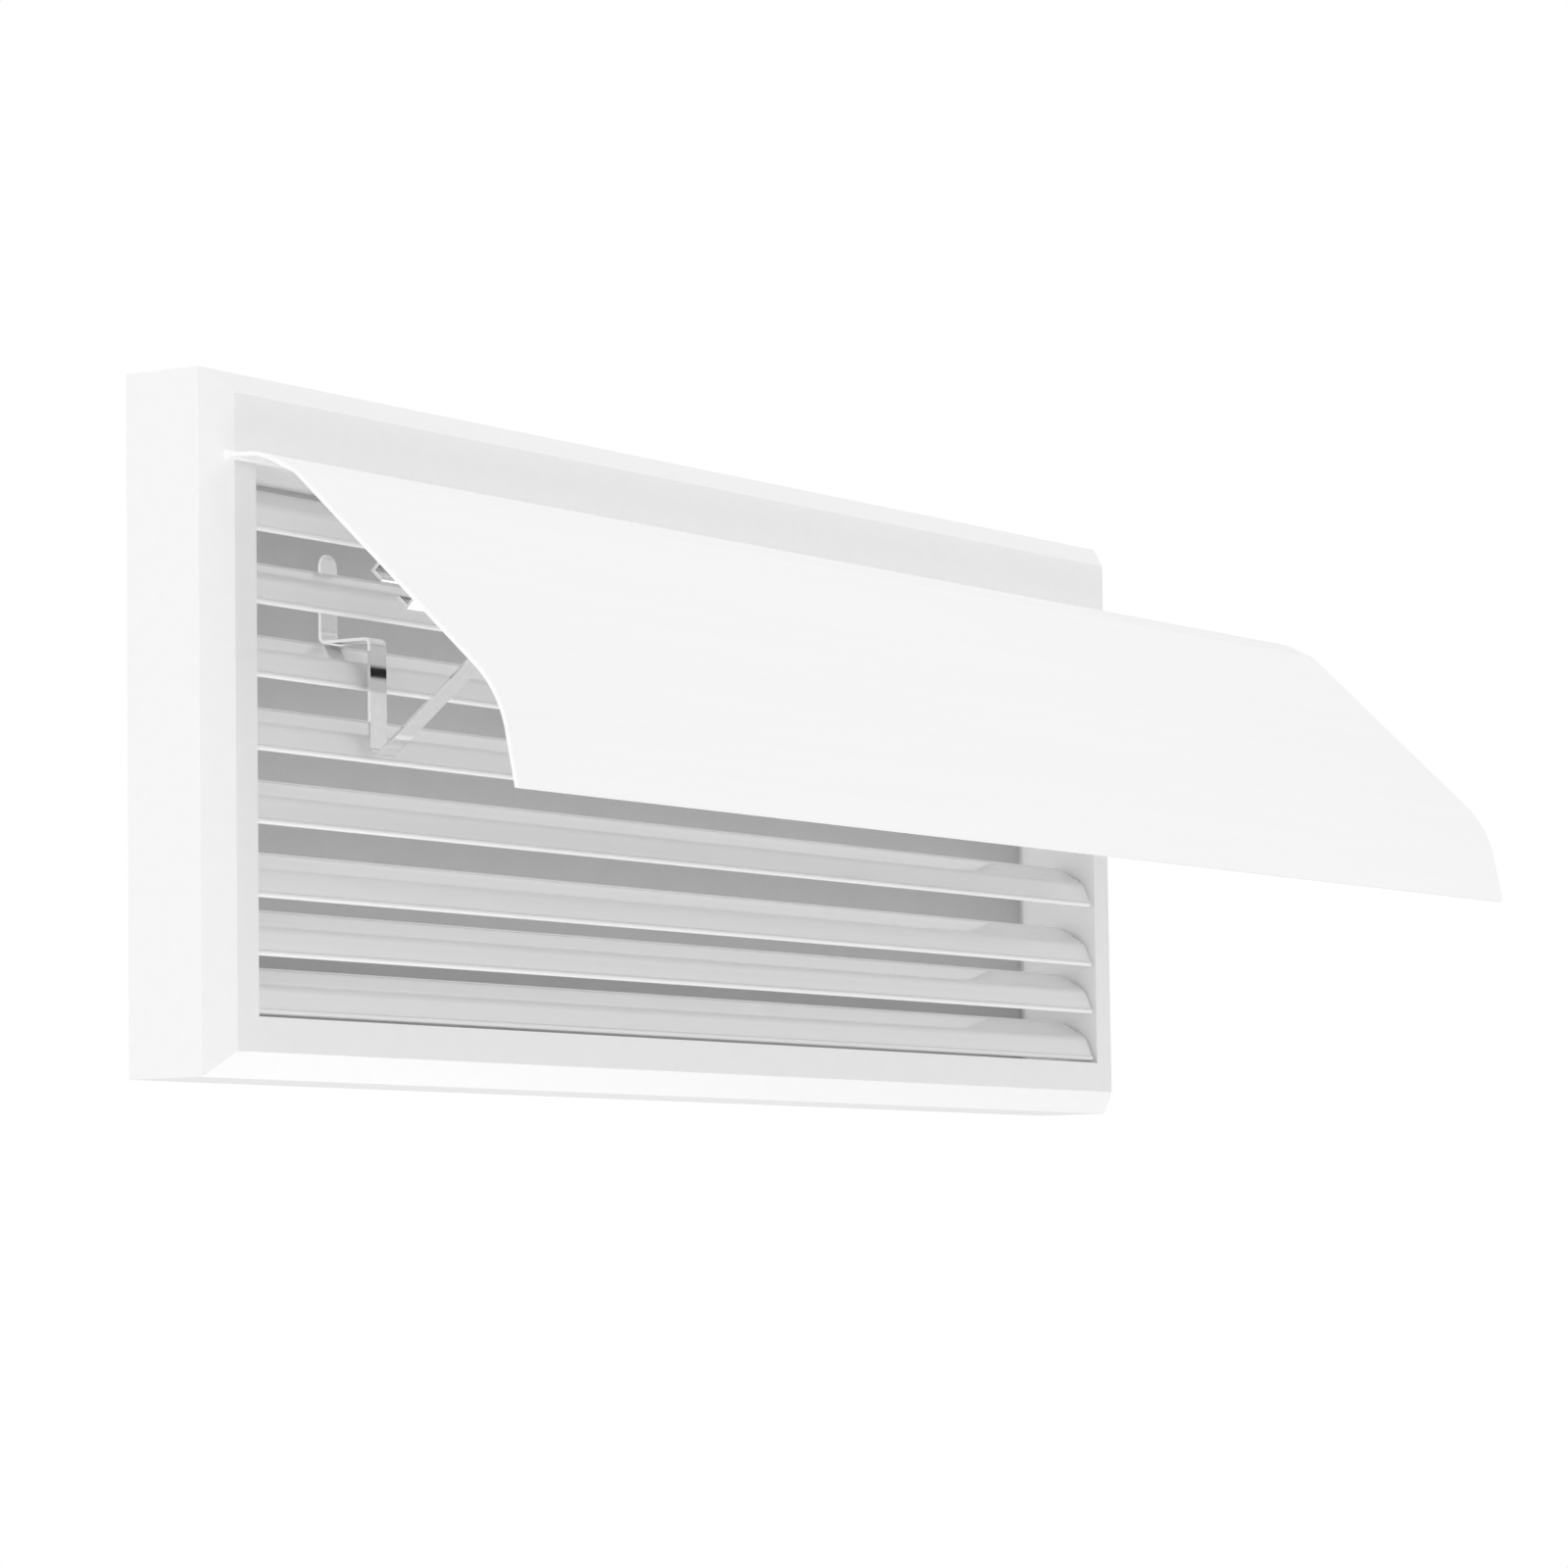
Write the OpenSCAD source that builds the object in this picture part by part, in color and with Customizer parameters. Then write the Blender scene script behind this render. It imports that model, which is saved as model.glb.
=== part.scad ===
// Ceiling vent cover: a moulded frame with eight slats and an air deflector hung on two bent stays.
// Millimetres. Origin at the centre of the back face, on the wall. X runs along the cover,
// the front looks towards -Y and +Z is up. Profiles are drawn as [depth or reach, height].

/* [Cover frame] */
// overall width of the moulded cover
overall_w = 650; // [560:10:760]
// overall height of the moulded cover
overall_h = 250; // [246:1:260]
// how far the face stands off the wall
cover_depth = 41; // [41:1:55]
// 45 degree bevel round all four front edges
edge_bevel = 9; // [5:1:10]
// wall thickness of the moulding
cover_wall = 2.5; // [2:0.5:3]
// flat face beside the opening, from bevel to opening
stile_w = 12.5; // [11:0.5:16]
// flat face above the opening
top_rail = 23; // [20:1:26]
// flat face below the opening
bottom_rail = 12.5; // [11:0.5:16]
// thickness of the ribs inside the hollow rim
rib_t = 2; // [1.5:0.5:3]
// distance from the wall to those ribs' back edges
rib_clear = 20; // [18:1:26]

/* [Wall frame] */
// thickness of the plate screwed to the wall
base_t = 3; // [2.5:0.5:4]
// thickness of the inner flange and the back bars
flange_t = 1.2; // [1:0.2:2]
// how far the inner flange reaches inside the opening
flange_reach = 6; // [4:1:10]
// width of each back bar
bar_w = 8; // [6:1:12]
// spacing of the three back bars
bar_pitch = 150; // [120:10:160]
// diameter of the four screw holes
screw_hole_d = 4.5; // [4:0.5:5]
// distance from the plate's edges to the screw holes
screw_edge = 7.7; // [6.7:0.5:8.2]
// width of each snap tongue
tongue_w = 20; // [14:2:30]
// how far the snap tongues reach off the wall
tongue_l = 16; // [16:1:19]
// thickness of the tongues and of the lip round the neck
tongue_t = 2; // [1.5:0.5:2.5]
// distance from the wall to the catch on each tongue
catch_at = 11; // [9:0.5:11]
// height of that catch
catch_h = 1; // [0.8:0.1:1.2]
// how far the lip round the neck reaches off the wall
neck_lip_l = 12; // [8:1:14]
// distance between the outer snap tongues of the long sides
tongue_spread = 420; // [300:20:460]

/* [Filter pad] */
// thickness of the non-woven pad
pad_t = 2; // [1.5:0.5:4]

/* [Slats] */
// height of a slat from its nose to its back edge
slat_h = 17.6; // [16:0.2:18]
// thickness of the slat's wall
slat_wall = 1.5; // [1.2:0.1:1.8]
// diameter of the small bead along both edges
slat_bead_d = 2.2; // [1.8:0.1:2.4]
// depth of the nose bead behind the face
nose_in = 2.3; // [2:0.1:4]
// depth of the slat's bend behind the face
bend_in = 5.4; // [5:0.1:7]
// height of the slat's bend above the nose
bend_up = 9.6; // [9:0.1:10.5]
// outside radius of the slat's bend
slat_bend_r = 6; // [4:0.5:7]
// depth of the back bead behind the face
back_in = 16.9; // [15.5:0.1:17]
// depth of the pivot behind the face
pivot_in = 11.1; // [10.8:0.1:11.6]
// height of the pivot above the nose
pivot_up = 9.8; // [9.4:0.1:10]
// outside diameter of the port along the slat
port_d = 6.5; // [6:0.1:7]
// bore of that port
port_bore_d = 4.2; // [4:0.1:4.4]
// gap from the opening's top to the first slat's back edge
top_margin = 6.7; // [5:0.1:9]
// gap from the last slat's nose to the opening's bottom
bottom_margin = 1; // [0.8:0.1:2]
// pitch of the three lowest slats
close_pitch = 20.6; // [20.2:0.1:21]

/* [Slat pivots] */
// diameter of the journal that turns in the frame
journal_d = 5; // [4:0.5:5]
// length of the journal
journal_l = 5.5; // [4:0.5:5.5]
// diameter of the collar against the slat's end
collar_d = 8; // [7:0.5:9]
// thickness of that collar
collar_t = 0.7; // [0.5:0.1:1]
// how far the spigot goes into the port
spigot_l = 8; // [6:1:12]

/* [Deflector] */
// length of the deflector
deflector_w = 780; // [700:10:900]
// how far its left end lies inside the cover's left edge
deflector_in = 2; // [0:1:20]
// thickness of the deflector sheet
sheet_t = 1.5; // [1.2:0.1:2]
// diameter of the bead that rests on the face
bead_d = 3; // [2.5:0.5:4]
// reach of the shelf's outer end
shelf_out = 17; // [14:1:20]
// reach of the crest
crest_out = 32; // [28:1:36]
// drop from the opening's top edge to the crest
crest_drop = 7.8; // [6:0.1:10]
// slope of the flat middle, in degrees below level
slope_angle = 43.9; // [42:0.1:46]
// length of the flat middle from crest to lower bend
slope_l = 119; // [112:1:126]
// slope of the lip, in degrees below level
lip_angle = 79; // [72:1:84]
// length of the lip from the lower bend
lip_l = 34.4; // [28:0.1:40]
// outside radius of the lower bend
lower_bend_r = 45; // [30:1:50]
// outside radius of the bend between shelf and crest
shelf_bend_r = 25; // [15:1:28]
// outside radius of the bend at the crest
crest_bend_r = 10; // [6:1:20]

/* [Stay rail] */
// distance from the crest down the slope to the rail's middle
rail_at = 56.6; // [50:0.1:64]
// width of the rail
rail_w = 21; // [20:0.5:23]
// height of the rail off the sheet
rail_h = 6; // [6:0.1:7]
// wall thickness of the rail
rail_wall = 1.2; // [1:0.1:1.3]
// width of the slot between its lips
rail_slot = 9; // [8:0.5:10]
// how far the rail stops short of the deflector's ends
rail_inset = 5; // [3:1:20]

/* [Stays] */
// distance from the opening's ends to the middle of each stay
stay_in = 68.5; // [45:0.5:150]
// width of the stay's strip
strip_w = 10; // [8:1:12]
// thickness of that strip
strip_t = 1.2; // [1:0.1:1.4]
// rise of the hook's tab above the second slat
tab_rise = 7.4; // [5:0.1:9]
// reach of the front leg's outer face
leg_out = 3.2; // [2.4:0.1:5]
// height of the front leg, top face to lowest point
leg_l = 43.3; // [36:0.1:50]
// length of the foot inside the rail
foot_l = 8; // [6:0.5:8]
// inside radius of the strip's bends
strip_bend_r = 1.5; // [1.2:0.1:2]
// length of the shoe along the rail
shoe_l = 16; // [14:1:20]

/* [Hidden] */

// clearance between the cover's inside and the wall frame
fit_gap = 0.8;
// clearance between the neck and the seat it stands in
seat_gap = 0.2;
// clearance between the neck and the lip around it
lip_gap = 0.5;
// gap kept between a curved face and the piece it rests on
rest_gap = 0.3;
// radial clearance of the journals in their bores
journal_gap = 0.05;
// radial clearance of the spigots in the ports
spigot_gap = 0.02;
// clearance at each end of a slat
slat_end_gap = 1.5;
// clearance past the tip of a journal
journal_end_gap = 0.8;
// gap behind the second slat's back edge to the hook's tab
tab_gap = 0.6;
// clearance of the shoe inside the rail, across the slope
shoe_side_gap = 0.5;
// clearance of the shoe's pocket around the strip
pocket_gap = 0.03;

half_w = overall_w / 2;
half_h = overall_h / 2;
face_y = -cover_depth;
open_x = half_w - edge_bevel - stile_w;
open_top = half_h - edge_bevel - top_rail;
open_bottom = edge_bevel + bottom_rail - half_h;
inner_bevel = edge_bevel - (2 - sqrt(2)) * cover_wall;
neck_back = -flange_t - pad_t;
deflector_left = half_w - deflector_in;
stay_x = open_x - stay_in;

slat_l = 2 * (open_x - slat_end_gap);
first_nose = open_top - top_margin - slat_h;
last_nose = open_bottom + bottom_margin;
wide_pitch = (first_nose - last_nose - 2 * close_pitch) / 5;
boss_wall = 2;
boss_end = 1.5;
bore_l = journal_l + collar_t - slat_end_gap + journal_end_gap;

shelf_drop = 0.2;
bead_out = bead_d / 2 + rest_gap;
crest = [crest_out, open_top - crest_drop];
lower_bend = crest + slope_l * [cos(slope_angle), -sin(slope_angle)];
lip_end = lower_bend + lip_l * [cos(lip_angle), -sin(lip_angle)];

rail_back = sheet_t + rail_wall;
rail_lips = sheet_t + rail_h - rail_wall;
shoe_h = rail_lips - rail_back - 2 * rest_gap;
foot_q = (rail_back + rail_lips) / 2;
shoe_w = rail_w - 2 * rail_wall - 2 * shoe_side_gap;

slat2_top = first_nose - wide_pitch + slat_h;
slat3_top = slat2_top - wide_pitch;
tab_out = -(back_in + slat_bead_d / 2 + tab_gap + strip_t / 2);
tab_top = slat2_top + tab_rise;
arm_z = slat3_top + rest_gap + strip_t / 2;
leg_u = leg_out - strip_t / 2;
bend_mid_r = strip_bend_r + strip_t / 2;
foot_end = slope_point(rail_at - foot_l, foot_q);
foot_bend = slope_point(rail_at, foot_q);
leg_bottom = arm_z + strip_t / 2 - leg_l;
vee_r = bend_mid_r + 0.5;
vee_centre = [leg_u + vee_r, leg_bottom + strip_t / 2 + vee_r];
vee_aim = foot_bend - vee_centre;
vee_far = sqrt(vee_aim[0] * vee_aim[0] + vee_aim[1] * vee_aim[1]);
stay_slope = atan2(vee_aim[1], vee_aim[0]) + asin(vee_r / vee_far);
vee_point = [leg_u, vee_centre[1] - vee_r * tan((90 + stay_slope) / 2)];

// height of a slat's nose, counted from the top slat
function nose_z(i) = i <= 6 ? first_nose - (i - 1) * wide_pitch : last_nose + (8 - i) * close_pitch;

// a point on the deflector: along the slope from the crest, then inwards from its outer face
function slope_point(s, q) = crest + s * [cos(slope_angle), -sin(slope_angle)]
    - q * [sin(slope_angle), cos(slope_angle)];

function unit(v) = v / sqrt(v[0] * v[0] + v[1] * v[1]);
function heading(pts, i) = unit(pts[i + 1] - pts[i]);
function compass(pts, i) = atan2(heading(pts, i)[1], heading(pts, i)[0]);
function wrap(a) = a > 180 ? a - 360 : a < -180 ? a + 360 : a;
// turn of a path at point i, positive to the left
function turn_at(pts, i) = wrap(compass(pts, i) - compass(pts, i - 1));
function left_of(a) = [-sin(a), cos(a)];
function cutback(pts, radii, i) = radii[i] * tan(abs(turn_at(pts, i)) / 2);
// centre of the bend at point i
function bend_centre(pts, radii, i) = pts[i] - heading(pts, i - 1) * cutback(pts, radii, i)
    + left_of(compass(pts, i - 1)) * sign(turn_at(pts, i)) * radii[i];
// a point of that bend, moved sideways from the path, after a share of the turn
function bend_point(pts, radii, i, shift, share) = bend_centre(pts, radii, i)
    + left_of(compass(pts, i - 1) + share * turn_at(pts, i))
    * (shift - sign(turn_at(pts, i)) * radii[i]);
// the path moved sideways, its bends drawn in steps of a few degrees
function side_of(pts, radii, shift, step) = concat(
    [pts[0] + left_of(compass(pts, 0)) * shift],
    [for (i = [1 : len(pts) - 2])
        let (steps = ceil(abs(turn_at(pts, i)) / step))
        for (k = [0 : steps]) bend_point(pts, radii, i, shift, k / steps)],
    [pts[len(pts) - 1] + left_of(compass(pts, len(pts) - 2)) * shift]);
function reversed(list) = [for (i = [len(list) - 1 : -1 : 0]) list[i]];

// a profile drawn as [reach, height] and run along X
module along_x(x0, length) {
    translate([x0, face_y, 0])
        rotate([90, 0, 90])
        linear_extrude(length)
        mirror([1, 0])
        children();
}

// a sheet folded along a path, with its own thickness to the left and right of the path
module folded_strip(pts, radii, left, right, step) {
    polygon(concat(side_of(pts, radii, left, step), reversed(side_of(pts, radii, -right, step))));
}

// a block with its four front edges bevelled, from the wall out to front
module bevelled_block(w, h, front, bevel) {
    intersection() {
        translate([0, 0, -h / 2])
            linear_extrude(h)
            polygon([[-w / 2, 0], [w / 2, 0], [w / 2, bevel - front], [w / 2 - bevel, -front],
                [bevel - w / 2, -front], [-w / 2, bevel - front]]);
        translate([-w / 2, 0, 0])
            rotate([90, 0, 90])
            linear_extrude(w)
            polygon([[0, -h / 2], [0, h / 2], [bevel - front, h / 2], [-front, h / 2 - bevel],
                [-front, bevel - h / 2], [bevel - front, -h / 2]]);
    }
}

// a box given by its two opposite corners
module block(low, high) {
    translate(low)
        cube(high - low);
}

// a rectangle of the opening's shape, grown by a margin, between two depths
module opening_block(grow, back, front) {
    block([-open_x - grow, front, open_bottom - grow], [open_x + grow, back, open_top + grow]);
}

// the bosses on the outside of the neck that carry the slats
module pivot_boss(i) {
    for (side = [-1, 1])
        translate([side * (open_x + cover_wall - 0.5), face_y + pivot_in, nose_z(i) + pivot_up])
            rotate([0, side * 90, 0])
            cylinder(h = bore_l + boss_end - cover_wall + 0.5, d = journal_d + 2 * boss_wall,
                $fn = 32);
}

// the blind bores through the neck into those bosses
module pivot_bore(i) {
    for (side = [-1, 1])
        translate([side * (open_x - 1), face_y + pivot_in, nose_z(i) + pivot_up])
            rotate([0, side * 90, 0])
            cylinder(h = bore_l + 1, d = journal_d + 2 * journal_gap, $fn = 32);
}

// the small ribs inside the outer wall that the wall frame's tongues catch
module snap_rib(x, z) {
    reach_x = z == 0 ? catch_h : tongue_w / 2 + 1;
    reach_z = z == 0 ? tongue_w / 2 + 1 : catch_h;
    block([x - reach_x, -catch_at, z - reach_z], [x + reach_x, 2 - catch_at, z + reach_z]);
}

// the moulded cover: bevelled shell, opening with its neck, bosses and ribs
module cover_frame() {
    color([0.95, 0.95, 0.95])
    difference() {
        union() {
            difference() {
                bevelled_block(overall_w, overall_h, cover_depth, edge_bevel);
                translate([0, 1, 0])
                    bevelled_block(overall_w - 2 * cover_wall, overall_h - 2 * cover_wall,
                        cover_depth - cover_wall + 1, inner_bevel);
            }
            opening_block(cover_wall, neck_back, face_y + cover_wall - 0.5);
            for (i = [1 : 8])
                pivot_boss(i);
            intersection() {
                for (x = [-bar_pitch, 0, bar_pitch])
                    block([x - rib_t / 2, face_y, -half_h], [x + rib_t / 2, -rib_clear, half_h]);
                bevelled_block(overall_w - 2, overall_h - 2, cover_depth - 1, edge_bevel);
            }
            for (x = [-tongue_spread / 2, 0, tongue_spread / 2])
                for (z = [-1, 1])
                    snap_rib(x, z * (half_h - cover_wall));
            for (side = [-1, 1])
                snap_rib(side * (half_w - cover_wall), 0);
        }
        opening_block(0, 1, face_y - 1);
        for (i = [1 : 8])
            pivot_bore(i);
    }
}

// one snap tongue on the wall frame, standing at the edge towards +Z
module snap_tongue(edge) {
    shank = edge - catch_h / 2;
    block([-tongue_w / 2, -tongue_l, shank - tongue_t], [tongue_w / 2, 0.5 - base_t, shank]);
    block([-tongue_w / 2, 1 - tongue_l, shank - 0.5], [tongue_w / 2, -catch_at, shank + catch_h]);
}

// the plate screwed to the wall, with the seat for the pad and the tongues that hold the cover
module wall_frame() {
    edge_x = half_w - cover_wall - fit_gap;
    edge_z = half_h - cover_wall - fit_gap;
    seat = cover_wall + seat_gap;
    lip = cover_wall + lip_gap;
    color([0.9, 0.9, 0.9])
    difference() {
        union() {
            difference() {
                block([-edge_x, -base_t, -edge_z], [edge_x, 0, edge_z]);
                opening_block(seat, -flange_t, -base_t - 1);
            }
            difference() {
                opening_block(lip + tongue_t, 0.5 - base_t, -neck_lip_l);
                opening_block(lip, 1 - base_t, -neck_lip_l - 1);
            }
            for (x = [-tongue_spread / 2, 0, tongue_spread / 2])
                translate([x, 0, 0]) {
                    snap_tongue(edge_z);
                    mirror([0, 0, 1])
                        snap_tongue(edge_z);
                }
            for (side = [-1, 1])
                rotate([0, side * 90, 0])
                    snap_tongue(edge_x);
        }
        difference() {
            opening_block(-flange_reach, 1, -base_t - 1);
            for (x = [-bar_pitch, 0, bar_pitch])
                block([x - bar_w / 2, -base_t - 2, -half_h], [x + bar_w / 2, 2, half_h]);
        }
        for (x = [-1, 1])
            for (z = [-1, 1])
                translate([x * (edge_x - screw_edge), 1, z * (edge_z - screw_edge)])
                    rotate([90, 0, 0])
                    cylinder(h = base_t + 2, d = screw_hole_d, $fn = 32);
    }
}

// the non-woven pad held between the neck and the wall frame
module filter_pad() {
    color([0.66, 0.66, 0.66])
    opening_block(cover_wall - 0.5, -flange_t, neck_back);
}

// one extruded slat: folded sheet with a bead along each edge and a port for the pivots
module slat(i) {
    nose = [-nose_in, slat_bead_d / 2];
    bend = [-bend_in, bend_up];
    back = [-back_in, slat_h - slat_bead_d / 2];
    color([0.93, 0.93, 0.93])
    translate([0, 0, nose_z(i)])
        difference() {
            union() {
                along_x(-slat_l / 2, slat_l)
                    folded_strip([nose, bend, back], [0, slat_bend_r - slat_wall / 2, 0],
                        slat_wall / 2, slat_wall / 2, 5);
                along_x(-slat_l / 2, slat_l)
                    translate(nose)
                    circle(d = slat_bead_d, $fn = 24);
                along_x(-slat_l / 2, slat_l)
                    translate(back)
                    circle(d = slat_bead_d, $fn = 24);
                along_x(-slat_l / 2, slat_l)
                    translate([-pivot_in, pivot_up])
                    circle(d = port_d, $fn = 32);
            }
            along_x(-slat_l / 2 - 1, slat_l + 2)
                translate([-pivot_in, pivot_up])
                circle(d = port_bore_d, $fn = 32);
        }
}

// the two plugs in one slat's port: spigot, collar and journal
module slat_pivots(i) {
    color([0.85, 0.85, 0.83])
    for (side = [-1, 1])
        translate([side * slat_l / 2, face_y + pivot_in, nose_z(i) + pivot_up])
            rotate([0, side * 90, 0]) {
                translate([0, 0, -spigot_l])
                    cylinder(h = spigot_l + 0.1, d = port_bore_d - 2 * spigot_gap, $fn = 32);
                cylinder(h = collar_t, d = collar_d, $fn = 32);
                cylinder(h = collar_t + journal_l, d = journal_d, $fn = 32);
            }
}

// the bent deflector sheet with its bead
module deflector() {
    color([0.97, 0.97, 0.97]) {
        along_x(-deflector_left, deflector_w)
            folded_strip([[bead_out, open_top + sheet_t / 2], [shelf_out, open_top - shelf_drop],
                crest, lower_bend, lip_end], [0, shelf_bend_r, crest_bend_r, lower_bend_r, 0],
                0, sheet_t, 2.5);
        along_x(-deflector_left, deflector_w)
            translate([bead_out, open_top])
            circle(d = bead_d, $fn = 24);
    }
}

// the C-shaped rail bonded under the deflector
module stay_rail() {
    half = rail_w / 2;
    in_half = half - rail_wall;
    slot = rail_slot / 2;
    low = sheet_t + rail_h;
    color([0.75, 0.75, 0.75])
    along_x(rail_inset - deflector_left, deflector_w - 2 * rail_inset)
        polygon([slope_point(rail_at - half, sheet_t), slope_point(rail_at + half, sheet_t),
            slope_point(rail_at + half, low), slope_point(rail_at + slot, low),
            slope_point(rail_at + slot, rail_lips), slope_point(rail_at + in_half, rail_lips),
            slope_point(rail_at + in_half, rail_back), slope_point(rail_at - in_half, rail_back),
            slope_point(rail_at - in_half, rail_lips), slope_point(rail_at - slot, rail_lips),
            slope_point(rail_at - slot, low), slope_point(rail_at - half, low)]);
}

// side view of the stay: hook behind the second slat, front leg, arm and foot
module stay_section(grow) {
    tab_low = [tab_out, tab_top - strip_w / 2];
    folded_strip([tab_low, [tab_out, arm_z], [leg_u, arm_z], vee_point, foot_bend, foot_end],
        [0, bend_mid_r, bend_mid_r, vee_r, bend_mid_r, 0],
        strip_t / 2 + grow, strip_t / 2 + grow, 7.5);
}

// one bent stay with the rounded tab of its hook
module stay(x) {
    color([0.8, 0.8, 0.82]) {
        along_x(x - strip_w / 2, strip_w)
            stay_section(0);
        translate([x, face_y - tab_out + strip_t / 2, tab_top - strip_w / 2])
            rotate([90, 0, 0])
            cylinder(h = strip_t, d = strip_w, $fn = 48);
    }
}

// one nylon shoe moulded round a stay's foot
module stay_shoe(x) {
    color([0.9, 0.9, 0.88])
    difference() {
        along_x(x - shoe_l / 2, shoe_l)
            polygon([slope_point(rail_at - shoe_w / 2, foot_q - shoe_h / 2),
                slope_point(rail_at + shoe_w / 2, foot_q - shoe_h / 2),
                slope_point(rail_at + shoe_w / 2, foot_q + shoe_h / 2),
                slope_point(rail_at - shoe_w / 2, foot_q + shoe_h / 2)]);
        along_x(x - strip_w / 2 - pocket_gap, strip_w + 2 * pocket_gap)
            stay_section(pocket_gap);
    }
}

cover_frame();
wall_frame();
filter_pad();
slat(1);  // slat_1
slat(2);  // slat_2
slat(3);  // slat_3
slat(4);  // slat_4
slat(5);  // slat_5
slat(6);  // slat_6
slat(7);  // slat_7
slat(8);  // slat_8
slat_pivots(1);  // slat_pivots_1
slat_pivots(2);  // slat_pivots_2
slat_pivots(3);  // slat_pivots_3
slat_pivots(4);  // slat_pivots_4
slat_pivots(5);  // slat_pivots_5
slat_pivots(6);  // slat_pivots_6
slat_pivots(7);  // slat_pivots_7
slat_pivots(8);  // slat_pivots_8
deflector();
stay_rail();
stay(-stay_x);  // stay_left
stay(stay_x);  // stay_right
stay_shoe(-stay_x);  // stay_shoe_left
stay_shoe(stay_x);  // stay_shoe_right
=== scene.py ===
import bpy
import math
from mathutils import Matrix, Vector

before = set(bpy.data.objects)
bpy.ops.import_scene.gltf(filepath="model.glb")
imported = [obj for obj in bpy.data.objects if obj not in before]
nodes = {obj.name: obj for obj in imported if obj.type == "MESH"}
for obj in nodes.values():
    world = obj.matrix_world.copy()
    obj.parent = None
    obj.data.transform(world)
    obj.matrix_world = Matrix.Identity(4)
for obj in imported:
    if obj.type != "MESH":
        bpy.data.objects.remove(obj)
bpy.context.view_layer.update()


# ---- Cover frame ----
# One satin white ABS moulding: a shell with a 45 degree bevel all round, the walls of the
# opening (neck) moulded in one with it. Its edges are slightly rounded, as the mould leaves them.
def shader_tree(name):
    mat = bpy.data.materials.new(name)
    mat.use_nodes = True
    tree = mat.node_tree
    return mat, tree, tree.nodes["Principled BSDF"]


def link_noise(tree, scale, detail, stretch=(1, 1, 1)):
    coords = tree.nodes.new("ShaderNodeTexCoord")
    mapping = tree.nodes.new("ShaderNodeMapping")
    mapping.inputs["Scale"].default_value = stretch
    noise = tree.nodes.new("ShaderNodeTexNoise")
    noise.inputs["Scale"].default_value = scale
    noise.inputs["Detail"].default_value = detail
    tree.links.new(coords.outputs["Object"], mapping.inputs["Vector"])
    tree.links.new(mapping.outputs["Vector"], noise.inputs["Vector"])
    return noise


def ramp_between(tree, source, low, high, start=0.35, end=0.65):
    ramp = tree.nodes.new("ShaderNodeValToRGB")
    ramp.color_ramp.elements[0].position = start
    ramp.color_ramp.elements[1].position = end
    ramp.color_ramp.elements[0].color = (*low, 1)
    ramp.color_ramp.elements[1].color = (*high, 1)
    tree.links.new(source, ramp.inputs["Fac"])
    return ramp.outputs["Color"]


def add_bump(tree, shader, source, distance, strength=0.3):
    bump = tree.nodes.new("ShaderNodeBump")
    bump.inputs["Strength"].default_value = strength
    bump.inputs["Distance"].default_value = distance
    tree.links.new(source, bump.inputs["Height"])
    tree.links.new(bump.outputs["Normal"], shader.inputs["Normal"])


def surface(name, low, high, roughness, scale=60, bump=0.00002, metallic=0.0, stretch=(1, 1, 1), ior=1.5, coat=0.0):
    mat, tree, shader = shader_tree(name)
    shader.inputs["Metallic"].default_value = metallic
    shader.inputs["Roughness"].default_value = roughness
    shader.inputs["IOR"].default_value = ior
    shader.inputs["Coat Weight"].default_value = coat
    shader.inputs["Coat Roughness"].default_value = 0.05
    noise = link_noise(tree, scale, 3, stretch)
    colour = ramp_between(tree, noise.outputs["Fac"], low, high)
    tree.links.new(colour, shader.inputs["Base Color"])
    if bump:
        add_bump(tree, shader, noise.outputs["Fac"], bump)
    return mat


def grey(v):
    return (v, v, v)


def smooth_group():
    group = bpy.data.node_groups.new("join_and_smooth", "GeometryNodeTree")
    group.interface.new_socket("Geometry", in_out="INPUT", socket_type="NodeSocketGeometry")
    group.interface.new_socket("Geometry", in_out="OUTPUT", socket_type="NodeSocketGeometry")
    n = group.nodes
    start, end = n.new("NodeGroupInput"), n.new("NodeGroupOutput")
    strip = n.new("GeometryNodeRemoveAttribute")
    strip.inputs["Name"].default_value = "custom_normal"
    merge = n.new("GeometryNodeMergeByDistance")
    merge.inputs["Distance"].default_value = 0.000004
    faces = n.new("GeometryNodeSetShadeSmooth")
    faces.domain = "FACE"
    faces.inputs["Shade Smooth"].default_value = True
    edges = n.new("GeometryNodeSetShadeSmooth")
    edges.domain = "EDGE"
    edges.inputs["Shade Smooth"].default_value = False
    angle = n.new("GeometryNodeInputMeshEdgeAngle")
    sharp = n.new("FunctionNodeCompare")
    sharp.inputs["B"].default_value = math.radians(26)
    group.links.new(start.outputs[0], strip.inputs["Geometry"])
    group.links.new(strip.outputs["Geometry"], merge.inputs["Geometry"])
    group.links.new(merge.outputs["Geometry"], faces.inputs["Geometry"])
    group.links.new(faces.outputs["Geometry"], edges.inputs["Geometry"])
    group.links.new(angle.outputs["Unsigned Angle"], sharp.inputs["A"])
    group.links.new(sharp.outputs["Result"], edges.inputs["Selection"])
    group.links.new(edges.outputs["Geometry"], end.inputs[0])
    return group


join_and_smooth = smooth_group()


def dress(node, mat, edge_mm, segments=2):
    piece = nodes[node]
    piece.data.materials.clear()
    piece.data.materials.append(mat)
    smooth = piece.modifiers.new("join_and_smooth", "NODES")
    smooth.node_group = join_and_smooth
    if edge_mm:
        edge = piece.modifiers.new("rounded_edges", "BEVEL")
        edge.width = edge_mm / 1000
        edge.segments = segments
        edge.limit_method = "ANGLE"
        edge.angle_limit = math.radians(28)
        edge.harden_normals = True
    return piece


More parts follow.
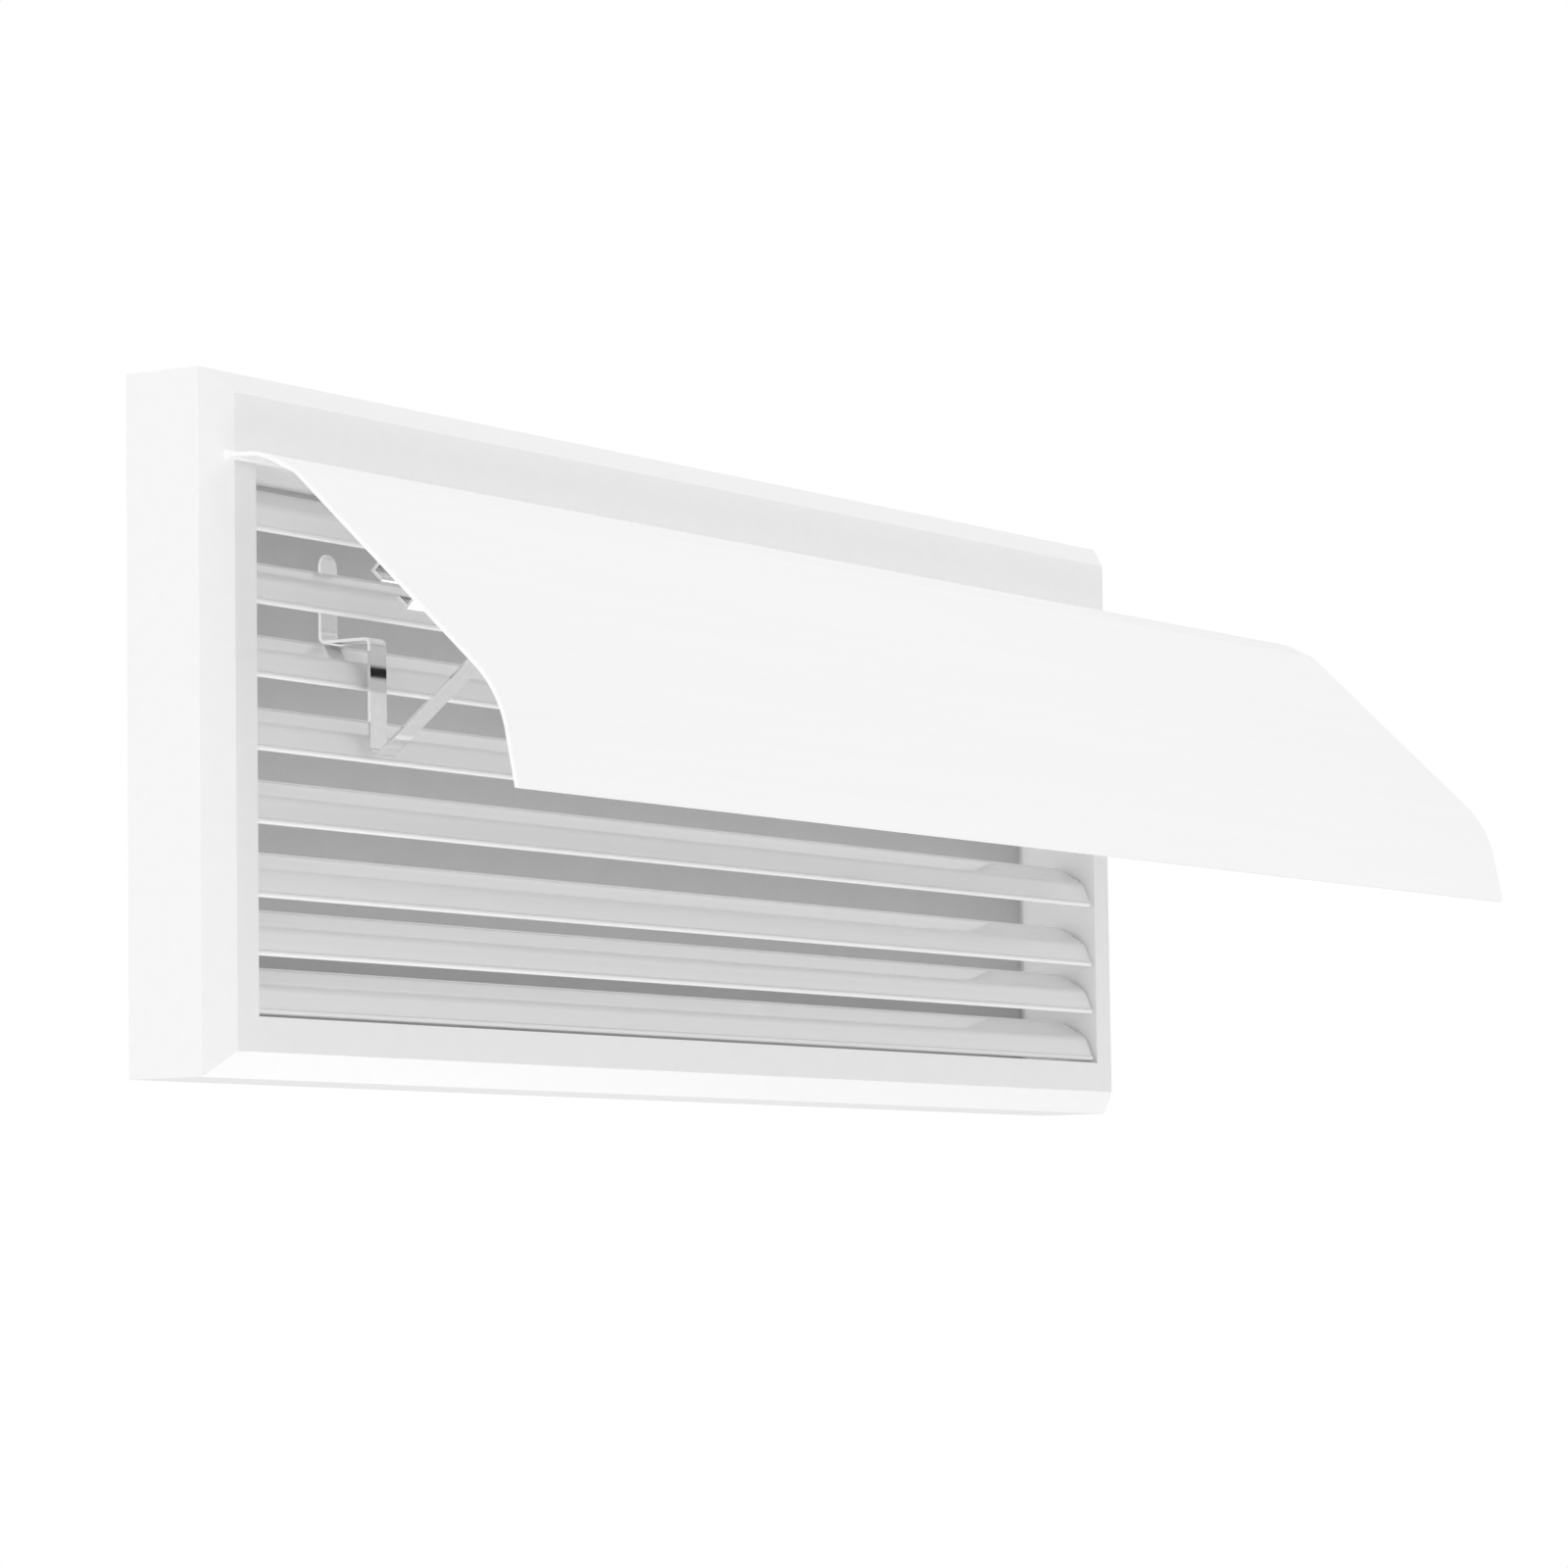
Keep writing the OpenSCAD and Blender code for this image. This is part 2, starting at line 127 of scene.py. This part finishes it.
cover_white = surface("cover_white", grey(0.87), grey(0.88), 0.3, scale=160, bump=0.000004)
dress("cover_frame", cover_white, 0.8, 3)


# ---- Wall frame ----
# Matt white plate screwed to the wall; the cover snaps over its tongues. Only its back and
# the bars behind the pad can ever be seen.
wall_white = surface("wall_frame_white", grey(0.78), grey(0.81), 0.55, scale=160)
dress("wall_frame", wall_white, 0)


# ---- Filter pad ----
# Grey non-woven pad clamped between the neck and the wall frame. Fibres run every way, so
# the surface is dull and slightly mottled.
def fibre_material():
    mat, tree, shader = shader_tree("filter_grey")
    shader.inputs["Roughness"].default_value = 0.95
    shader.inputs["IOR"].default_value = 1.3
    fine = link_noise(tree, 900, 6, (1, 1, 2.5))
    coarse = link_noise(tree, 45, 3)
    mix = tree.nodes.new("ShaderNodeMix")
    mix.data_type = "FLOAT"
    mix.inputs["Factor"].default_value = 0.25
    tree.links.new(fine.outputs["Fac"], mix.inputs["A"])
    tree.links.new(coarse.outputs["Fac"], mix.inputs["B"])
    colour = ramp_between(tree, mix.outputs["Result"], grey(0.55), grey(0.62), 0.3, 0.7)
    tree.links.new(colour, shader.inputs["Base Color"])
    add_bump(tree, shader, fine.outputs["Fac"], 0.0002, 0.4)
    return mat


dress("filter_pad", fibre_material(), 0)


# ---- Slats ----
# Eight aluminium extrusions, gloss white paint over the die's fine lengthways lines. Each has
# a small bead along its nose and back edge and a port for its pivots on the hollow side.
slat_white = surface("slat_white", grey(0.88), grey(0.9), 0.06, scale=80, bump=0.000002, stretch=(0.02, 6, 6))
for i in range(1, 9):
    dress(f"slat_{i}", slat_white, 0.15)


# ---- Slat pivots ----
# Natural nylon plugs in both ends of each slat's port, their journals in the neck's bores.
nylon = surface("pivot_nylon", grey(0.72), grey(0.76), 0.45, scale=200)
for i in range(1, 9):
    dress(f"slat_pivots_{i}", nylon, 0)


# ---- Deflector ----
# One extruded white sheet, 1.5 mm thick, with a rounded bead that rests on the face: a short
# shelf, a soft crest, a flat slope and a wide bend into the lip. Cut square at both ends.
deflector_white = surface("deflector_white", grey(0.93), grey(0.94), 0.22, scale=90, bump=0.000003, stretch=(0.05, 2, 2))
dress("deflector", deflector_white, 0.2, 2)


# ---- Stay rail ----
# Bright aluminium C-section bonded under the deflector's slope; the stays' shoes run in it.
rail_metal = surface("rail_metal", grey(0.74), grey(0.8), 0.16, scale=120, metallic=1.0, bump=0.000006, stretch=(0.02, 5, 5))
dress("stay_rail", rail_metal, 0.12)


# ---- Stays ----
# Chromed steel strip, bent cold: a tab behind slat 2, an arm on slat 3, a leg down the front and
# an arm back up to the rail. The deflector's weight keeps both hooks in place.
chrome = surface("stay_chrome", grey(0.86), grey(0.9), 0.05, scale=300, metallic=1.0, bump=0.000002)
for side in ("left", "right"):
    dress(f"stay_{side}", chrome, 0.18)


# ---- Stay shoes ----
# Nylon shoes moulded round the stays' feet.
shoe_nylon = surface("shoe_nylon", grey(0.75), grey(0.79), 0.4, scale=200)
for side in ("left", "right"):
    dress(f"stay_shoe_{side}", shoe_nylon, 0.2)


# ---- Studio ----
# A pale floor well below the cover, an even pale surround, and soft lamps from the left, above
# and below. A faint lamp in front of the pad stands for daylight that comes through the duct.
def plane(name, centre, size, mat):
    x, y = size[0] / 2, size[1] / 2
    mesh = bpy.data.meshes.new(name)
    mesh.from_pydata([(-x, -y, 0), (x, -y, 0), (x, y, 0), (-x, y, 0)], [], [(0, 1, 2, 3)])
    mesh.materials.append(mat)
    obj = bpy.data.objects.new(name, mesh)
    obj.location = centre
    bpy.context.scene.collection.objects.link(obj)
    return obj


floor_white = surface("floor_white", grey(0.8), grey(0.82), 0.9, scale=3, bump=0)
floor = plane("floor", (0, 0, -1.6), (40, 40), floor_white)


def area_light(name, place, aim, size, power):
    data = bpy.data.lights.new(name, "AREA")
    data.shape = "RECTANGLE"
    data.size, data.size_y = size
    data.energy = power
    obj = bpy.data.objects.new(name, data)
    obj.location = place
    obj.rotation_euler = (Vector(aim) - Vector(place)).to_track_quat("-Z", "Y").to_euler()
    obj.visible_camera = False
    bpy.context.scene.collection.objects.link(obj)
    return obj


area_light("key_left", (-2.5, 0.5, 0.6), (0, 0, 0), (0.6, 1.6), 17)
area_light("top_front", (0.3, -1.4, 2.2), (0, 0, 0), (2.2, 1.4), 21)
area_light("under", (0, -0.5, -0.85), (0, -0.1, 0), (2.4, 1.2), 7)
area_light("through_duct", (0, -0.0042, -0.0052), (0, -1, -0.0052), (0.604, 0.192), 0.185)

world = bpy.data.worlds.new("studio")
bpy.context.scene.world = world
world.use_nodes = True
wt = world.node_tree
wt.nodes.clear()
out = wt.nodes.new("ShaderNodeOutputWorld")
light_bg = wt.nodes.new("ShaderNodeBackground")
light_bg.inputs["Color"].default_value = (1, 1, 1, 1)
light_bg.inputs["Strength"].default_value = 0.75
seen_bg = wt.nodes.new("ShaderNodeBackground")
seen_bg.inputs["Color"].default_value = (1, 1, 1, 1)
seen_bg.inputs["Strength"].default_value = 1.0
path = wt.nodes.new("ShaderNodeLightPath")
choose = wt.nodes.new("ShaderNodeMixShader")
wt.links.new(path.outputs["Is Camera Ray"], choose.inputs["Fac"])
wt.links.new(light_bg.outputs["Background"], choose.inputs[1])
wt.links.new(seen_bg.outputs["Background"], choose.inputs[2])
wt.links.new(choose.outputs["Shader"], out.inputs["Surface"])


# ---- Camera ----
# Long lens from the lower left, as in the photograph.
cam_data = bpy.data.cameras.new("camera")
cam_data.lens = 137.13
cam_data.sensor_width = 36
cam = bpy.data.objects.new("camera", cam_data)
cam.location = (-1.984125, -1.302542, -0.206473)
cam.rotation_euler = (math.radians(94.97535), math.radians(0.78392), math.radians(-58.09113))
bpy.context.scene.collection.objects.link(cam)
bpy.context.scene.camera = cam
bpy.context.scene.view_settings.view_transform = "Standard"

bpy.context.view_layer.update()
